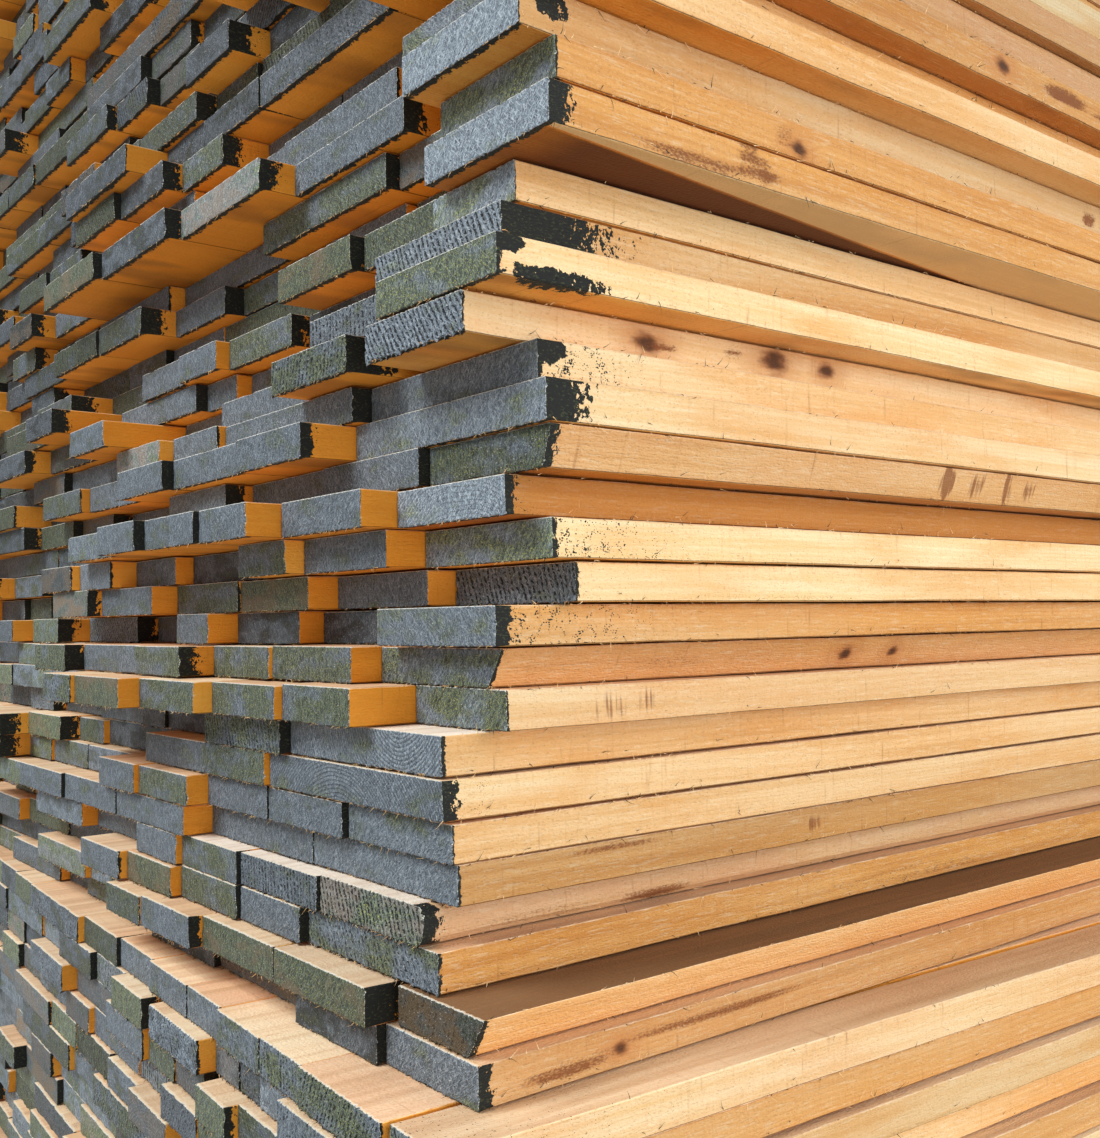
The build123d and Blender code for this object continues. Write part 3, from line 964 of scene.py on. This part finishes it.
def end_material():
    """Slate-grey sealing paint over rough sawn end grain, brushed green in places."""
    material = bpy.data.materials.new("end_sealing_paint")
    n = Nodes(material)
    grain = n.value("grain")
    green, dark, ring_share = n.parts("ends")
    row, up, grooves = n.parts("cut")
    arris, _, _ = n.parts("arris_and_shelter")
    light, brown, _ = n.parts("paint")
    lines, _ = ring_lines(n, grain, 0.0)

    # strokes run the way the saw went, and the weave is torn fibre under the paint. The light and dark flecks of weave
    # and hatch follow their bump: partly the paint's own unevenness, partly painted highlight and shade
    brush = n.noise(grain, (30, 26, 60), 2, 0.6)
    weave = n.noise(grain, (700, 480, 900), 2, 0.7)
    specks = n.noise(grain, (900, 760, 900), 1)
    stroke_place = n.put("ShaderNodeCombineXYZ", {0: n.times(row, 4.6), 1: n.times(up, 85.0), 2: 0.0}).outputs[0]
    strokes = n.noise(stroke_place, (1, 1, 1), 2, 0.65)
    hatch = n.math("MAXIMUM", slanted_strokes(n, row, up, 1.0), slanted_strokes(n, row, up, -1.0))
    dash_place = n.put("ShaderNodeCombineXYZ", {0: n.times(row, 1.3), 1: n.times(up, 430.0), 2: 0.0}).outputs[0]
    dash = n.noise(dash_place, (1, 1, 1), 1)

    slate = n.mix(n.ramp(strokes, 0.34, 0.68), linear(74, 84, 95), linear(124, 138, 149))
    # painted highlight on raised weave and hatch strokes and painted shade on sunk ones, partly the paint's own colour
    slate = n.mix(n.ramp(weave, 0.46, 0.68, 0.0, 0.50), slate, linear(150, 162, 171))
    slate = n.mix(n.ramp(hatch, 0.58, 0.70, 0.0, 0.60), slate, linear(166, 178, 187))
    slate = n.mix(n.ramp(hatch, 0.51, 0.43, 0.0, 0.60), slate, linear(56, 64, 72))
    slate = n.mix(n.ramp(brush, 0.42, 0.64, 0.0, 0.20), slate, linear(112, 124, 134))
    slate = n.mix(n.times(dark, n.ramp(brush, 0.44, 0.60)), slate, linear(54, 59, 63))
    slate = n.mix(n.times(brown, n.ramp(brush, 0.62, 0.42)), slate, linear(126, 106, 74))
    slate = n.mix(n.times(n.times(lines, ring_share), 0.55), slate, linear(50, 57, 66))
    green_share = n.ramp(n.math("MULTIPLY_ADD", green, 0.40, brush), 0.56, 0.84)
    olive = n.mix(n.ramp(strokes, 0.38, 0.64), linear(40, 48, 36), linear(104, 118, 94))
    olive = n.mix(n.ramp(hatch, 0.57, 0.68, 0.0, 0.6), olive, linear(138, 149, 122))
    olive = n.mix(n.ramp(specks, 0.60, 0.68, 0.0, 0.9), olive, linear(168, 170, 84))
    slate = n.mix(n.times(green_share, 0.85), slate, olive)
    slate = n.mix(1.0, slate, n.grey(n.ramp(light, 0.0, 1.0, 0.50, 1.65)), "MULTIPLY")
    # painted highlight on raised torn fibre and painted shade in its pits, partly their own colour
    slate = n.mix(n.ramp(weave, 0.62, 0.74, 0.0, 0.70), slate, linear(206, 212, 214))
    slate = n.mix(n.ramp(weave, 0.36, 0.28, 0.0, 0.70), slate, linear(34, 38, 42))
    slate = n.mix(n.ramp(specks, 0.32, 0.26, 0.0, 0.8), slate, linear(24, 25, 24))

    # rows of torn notches that the saw left, drawn near black: partly their own dark paint, partly painted shade in
    # the hollows
    to_row = n.math("ABSOLUTE", n.math("SUBTRACT", n.math("FRACT", row), 0.5))
    in_row = n.ramp(n.math("MULTIPLY_ADD", n.math("SUBTRACT", weave, 0.5), 0.9, to_row), 0.30, 0.42)
    torn = n.ramp(n.math("MULTIPLY_ADD", grooves, 0.20, dash), 0.61, 0.69)
    notch = n.times(n.times(in_row, torn), n.ramp(grooves, 0.0, 0.5))
    slate = n.mix(n.times(notch, 0.95), slate, linear(16, 18, 18))

    # upper arrises: pale bare wood with a painted highlight; lower arrises: painted shadow of the joint below, dark
    # with orange splinters
    rough_arris = n.math("MULTIPLY_ADD", n.math("SUBTRACT", weave, 0.5), 1.6, arris)
    slate = n.mix(n.ramp(rough_arris, 0.38, 0.66, 0.0, 0.9), slate, linear(232, 232, 222))
    low_arris = n.math("MULTIPLY_ADD", n.math("SUBTRACT", weave, 0.5), -2.2, arris)
    splinters = n.mix(n.ramp(specks, 0.56, 0.64), linear(24, 22, 19), linear(196, 132, 66))
    slate = n.mix(n.ramp(low_arris, -0.62, -0.95, 0.0, 0.9), slate, splinters)

    height = n.math("MULTIPLY_ADD", notch, -1.6, n.math("MULTIPLY_ADD", strokes, 0.3, n.times(weave, 0.5)))
    height = n.math("MULTIPLY_ADD", hatch, 1.1, height)
    height = n.math("MULTIPLY_ADD", lines, n.times(ring_share, -0.5), height)
    n.finish(slate, 0.55, height, 0.0014)
    return material


def show_layers():
    """One mesh per layer, in place of its node."""
    materials = [wood_material(), end_material()]
    for name in sorted(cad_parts):
        shape = Shape()
        for board in boards_of(name):
            look = look_of(board)
            shape.add_board(board, look)
            if board.is_near() and board.place < FIBRE_PLACES:
                shape.add_fibres(board, look)
        piece = bpy.data.objects.new(name + "_boards", shape.mesh(name + "_boards", materials))
        bpy.context.scene.collection.objects.link(piece)
        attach(piece, "root")
        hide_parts(name)


def camera():
    """The camera, from the turn, tilt and roll at which the photograph was taken."""
    yaw, pitch, roll = (math.radians(a) for a in (CAMERA_YAW, CAMERA_PITCH, CAMERA_ROLL))
    forward = Vector((math.sin(yaw) * math.cos(pitch), math.cos(yaw) * math.cos(pitch), math.sin(pitch)))
    right = forward.cross(Vector((0, 0, 1))).normalized()
    up = right.cross(forward)
    right_rolled = math.cos(roll) * right + math.sin(roll) * up
    up_rolled = math.cos(roll) * up - math.sin(roll) * right
    data = bpy.data.cameras.new("camera")
    data.lens = CAMERA_LENS
    data.sensor_width = 36.0
    data.clip_start = 0.01
    data.clip_end = 50
    shot = bpy.data.objects.new("camera", data)
    turn = Matrix((right_rolled, up_rolled, -forward)).transposed().to_4x4()
    shot.matrix_world = Matrix.Translation(CAMERA_PLACE) @ turn
    bpy.context.scene.collection.objects.link(shot)
    bpy.context.scene.camera = shot


def floor():
    """A plain pale floor. Only the camera and reflections see it pale, so that it throws little light up."""
    half = 14
    mesh = bpy.data.meshes.new("floor")
    mesh.from_pydata([(-half, -half, 0), (half, -half, 0), (half, half, 0), (-half, half, 0)], [], [(0, 1, 2, 3)])
    material = bpy.data.materials.new("floor")
    n = Nodes(material)
    rays = n.put("ShaderNodeLightPath").outputs
    seen = n.math("MAXIMUM", rays["Is Camera Ray"], n.math("MAXIMUM", rays["Is Glossy Ray"],
                                                           rays["Is Transmission Ray"]))
    colour = n.mix(seen, linear(150, 140, 128), linear(222, 220, 216))
    shader = n.put("ShaderNodeBsdfPrincipled", {"Base Color": colour, "Roughness": 0.9})
    n.put("ShaderNodeOutputMaterial", {"Surface": shader.outputs[0]})
    mesh.materials.append(material)
    sheet = bpy.data.objects.new("floor", mesh)
    bpy.context.scene.collection.objects.link(sheet)


def lamp(name, place, target, size, power):
    """A large square lamp that looks at a point."""
    data = bpy.data.lights.new(name, "AREA")
    data.shape = "SQUARE"
    data.size = size
    data.energy = power
    light = bpy.data.objects.new(name, data)
    light.location = place
    light.rotation_mode = "QUATERNION"
    light.rotation_quaternion = (Vector(target) - Vector(place)).to_track_quat("-Z", "Y")
    bpy.context.scene.collection.objects.link(light)


def studio():
    """A pale even world, and large soft lamps from above the near side and the near end."""
    world = bpy.data.worlds.new("world")
    world.use_nodes = True
    world.node_tree.nodes["Background"].inputs["Color"].default_value = (0.94, 0.97, 1.0, 1)
    world.node_tree.nodes["Background"].inputs["Strength"].default_value = 0.45
    bpy.context.scene.world = world
    lamp("low_lamp", (-1.7, -2.9, 0.35), (-0.7, -0.6, 1.2), 1.6, 22)
    lamp("side_lamp", (0.9, -5.0, 2.1), (-0.5, -0.6, 0.8), 3.0, 150)
    lamp("far_lamp", (3.6, 4.4, 3.4), (0.0, 0.0, 0.8), 3.0, 170)
    lamp("end_lamp", (-4.4, 0.6, 4.4), (-1.2, 0, 0.8), 2.4, 245)
    bpy.context.scene.view_settings.view_transform = "Standard"


show_layers()
floor()
camera()
studio()
